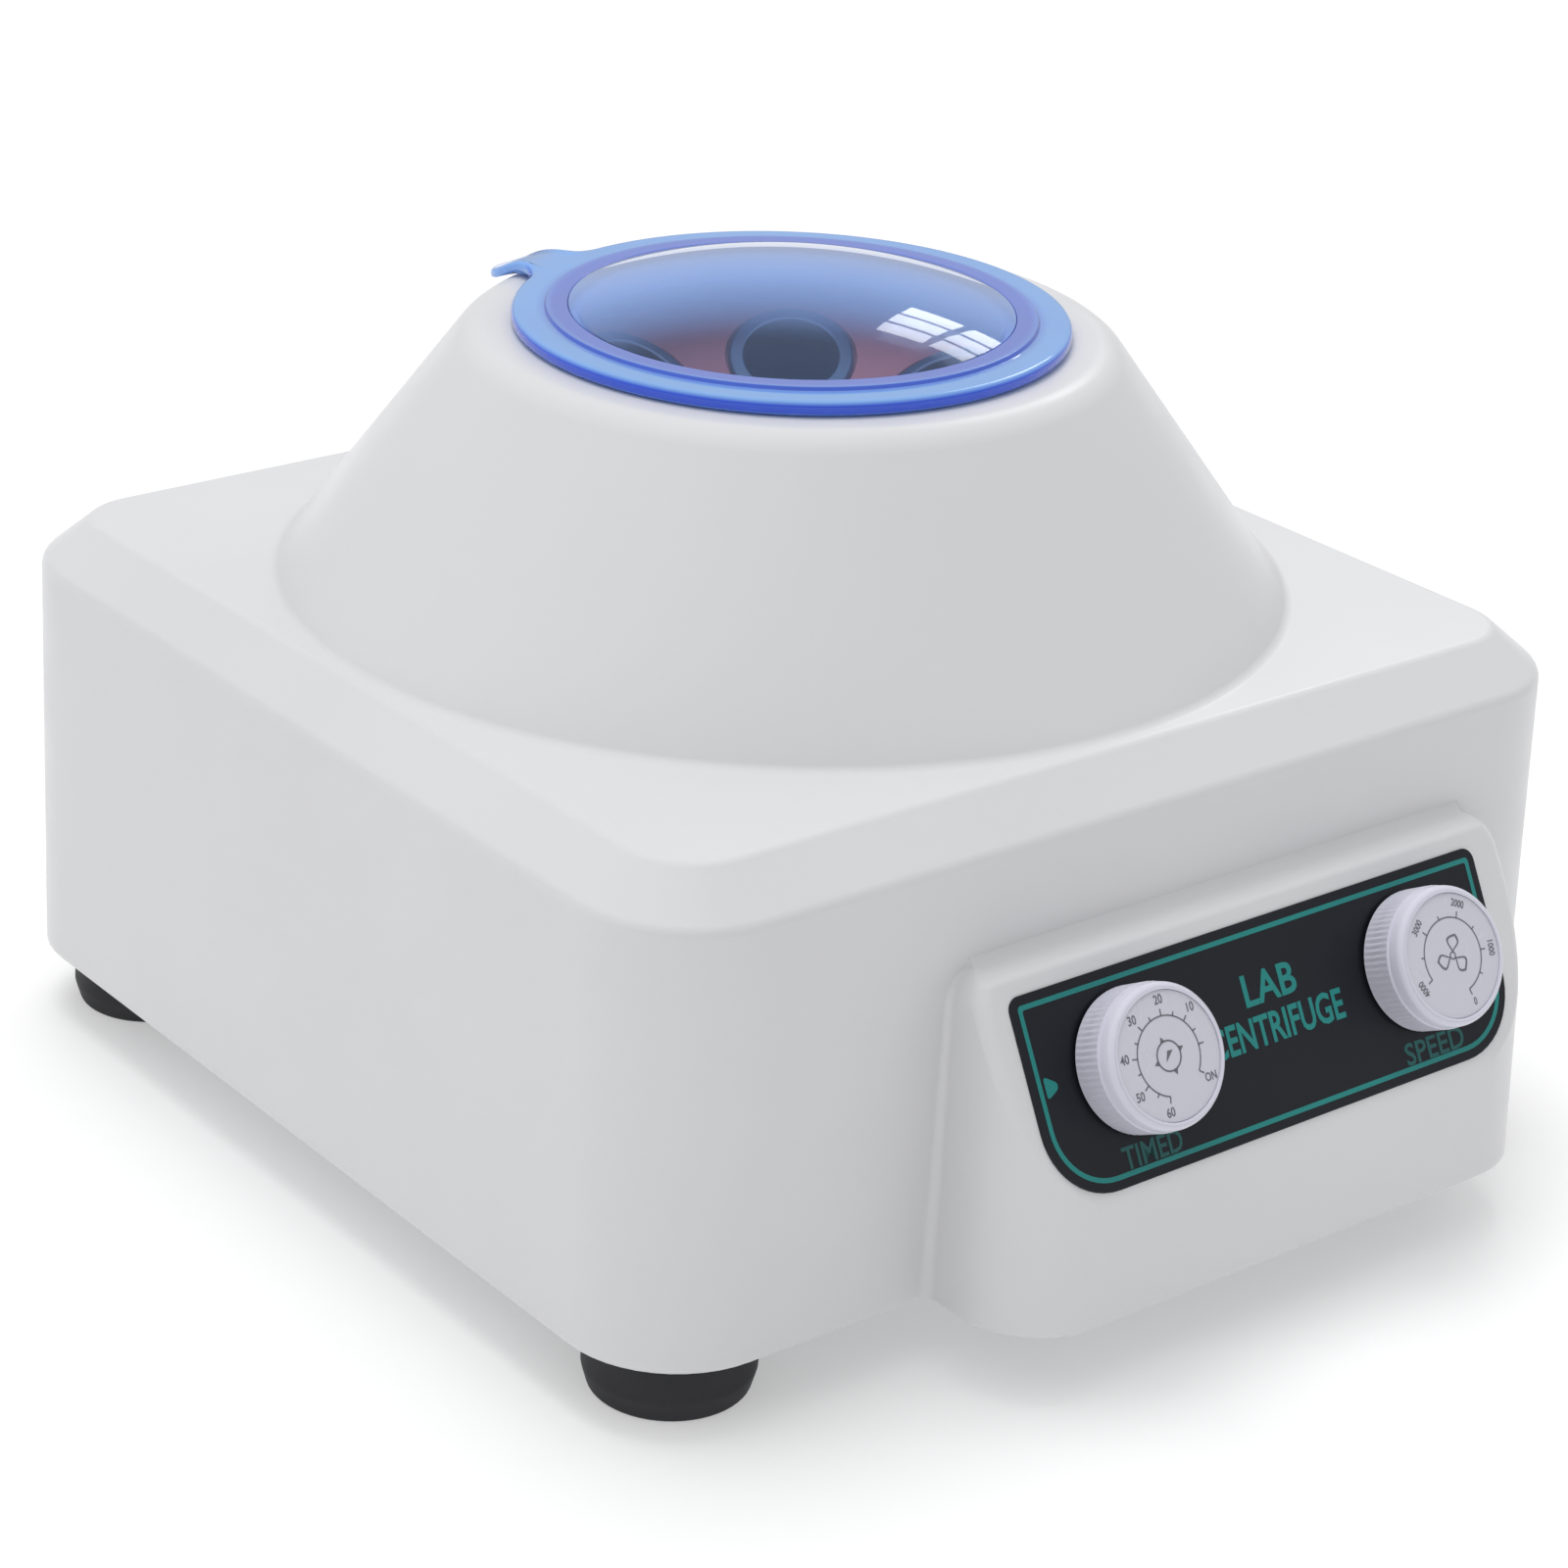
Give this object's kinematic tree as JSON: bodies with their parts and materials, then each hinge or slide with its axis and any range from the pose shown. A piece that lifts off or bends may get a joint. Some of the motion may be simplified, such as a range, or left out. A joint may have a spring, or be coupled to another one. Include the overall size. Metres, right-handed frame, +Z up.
{
  "type": "bench-top laboratory centrifuge",
  "caption": "Small bench-top tube centrifuge: square white housing with a cone, lift-off blue lid, angled rotor with tube sleeves, and a sloped panel with timer and speed knobs.",
  "frame": {"origin": "centre of the bounding box on the ground plane, under the feet; the rotor axis stands at y = +0.0166", "axes": "+Z up along the rotor axis, -Y out of the control panel at the front, +X to the right of someone facing the panel"},
  "size_m": [0.26, 0.2974, 0.1924],
  "materials": {
    "housing_white": "neutral white moulded ABS with a soft satin gloss",
    "bowl_white": "smooth white moulded plastic",
    "zinc_sheet": "zinc-plated sheet steel",
    "black_rubber": "black moulded rubber, slightly worn where it meets the bench",
    "bright_steel": "bright turned or plated steel",
    "motor_metal": "dull cast and drawn metal",
    "dark_iron": "stacked dark iron laminations",
    "carbon": "pressed carbon",
    "copper": "turned copper segments",
    "label_black": "printed black polyester film with teal lines",
    "timer_metal": "plated pressed steel case",
    "pot_metal": "dull metal case",
    "knob_white": "faintly lilac white moulded plastic, ribbed round the skirt",
    "dial_white": "the knob's printed face",
    "board_green": "printed circuit board",
    "inlet_black": "black moulded nylon",
    "bakelite": "red-brown moulded resin",
    "sleeve_metal": "blue-grey anodised aluminium",
    "lid_blue": "clear blue moulded polycarbonate",
    "window_blue": "clear pale blue moulded polycarbonate"
  },
  "bodies": {
    "base": {"upper_housing": "housing_white", "cone_hood": "housing_white", "mouth_collar": "housing_white", "control_box": "housing_white", "chamber_bowl": "bowl_white", "base_plate": "zinc_sheet", "motor_plate": "zinc_sheet", "foot_1": "black_rubber", "foot_2": "black_rubber", "foot_3": "black_rubber", "foot_4": "black_rubber", "rubber_damper_1": "black_rubber", "rubber_damper_2": "black_rubber", "rubber_damper_3": "black_rubber", "rubber_damper_4": "black_rubber", "foot_screw_1": "bright_steel", "foot_screw_2": "bright_steel", "foot_screw_3": "bright_steel", "foot_screw_4": "bright_steel", "bowl_screw_1": "bright_steel", "bowl_screw_2": "bright_steel", "bowl_screw_3": "bright_steel", "bowl_screw_4": "bright_steel", "motor_bearing_lower": "bright_steel", "motor_bearing_upper": "bright_steel", "timer_nut": "bright_steel", "speed_nut": "bright_steel", "inlet_pin_live": "bright_steel", "inlet_pin_earth": "bright_steel", "inlet_pin_neutral": "bright_steel", "motor_can": "motor_metal", "motor_end_bell": "motor_metal", "motor_stator": "dark_iron", "motor_brush_1": "carbon", "motor_brush_2": "carbon", "control_label": "label_black", "timer_body": "timer_metal", "speed_control_body": "pot_metal", "speed_board": "board_green", "power_inlet": "inlet_black"},
    "rotor": {"drive_shaft": "bright_steel", "motor_armature": "dark_iron", "motor_commutator": "copper", "rotor_dish": "bakelite", "rotor_nut": "bright_steel", "tube_sleeve_1": "sleeve_metal", "tube_sleeve_2": "sleeve_metal", "tube_sleeve_3": "sleeve_metal", "tube_sleeve_4": "sleeve_metal", "tube_sleeve_5": "sleeve_metal", "tube_sleeve_6": "sleeve_metal"},
    "lid": {"lid_flange": "lid_blue", "lid_spigot": "lid_blue", "lid_window": "window_blue"},
    "timer_knob": {"timer_knob_cap": "knob_white", "timer_dial": "dial_white", "timer_spindle": "bright_steel"},
    "speed_knob": {"speed_knob_cap": "knob_white", "speed_dial": "dial_white", "speed_spindle": "bright_steel"}
  },
  "joints": [
    {"name": "rotor_spin", "type": "hinge", "parent": "base", "child": "rotor", "pos_m": [0, 0.0166, 0.116], "axis": [0, 0, 1], "continuous": true},
    {"name": "lid_lift", "type": "slide", "parent": "base", "child": "lid", "axis": [0, 0, 1], "range_m": [0, 0.12]},
    {"name": "timer_turn", "type": "hinge", "parent": "base", "child": "timer_knob", "pos_m": [-0.0219, -0.13707, 0.07163], "axis": [0, -0.8829, 0.4695], "range_deg": [-74, 216]},
    {"name": "speed_turn", "type": "hinge", "parent": "base", "child": "speed_knob", "pos_m": [0.0601, -0.13707, 0.07163], "axis": [0, -0.8829, 0.4695], "range_deg": [-25, 254]}
  ]
}
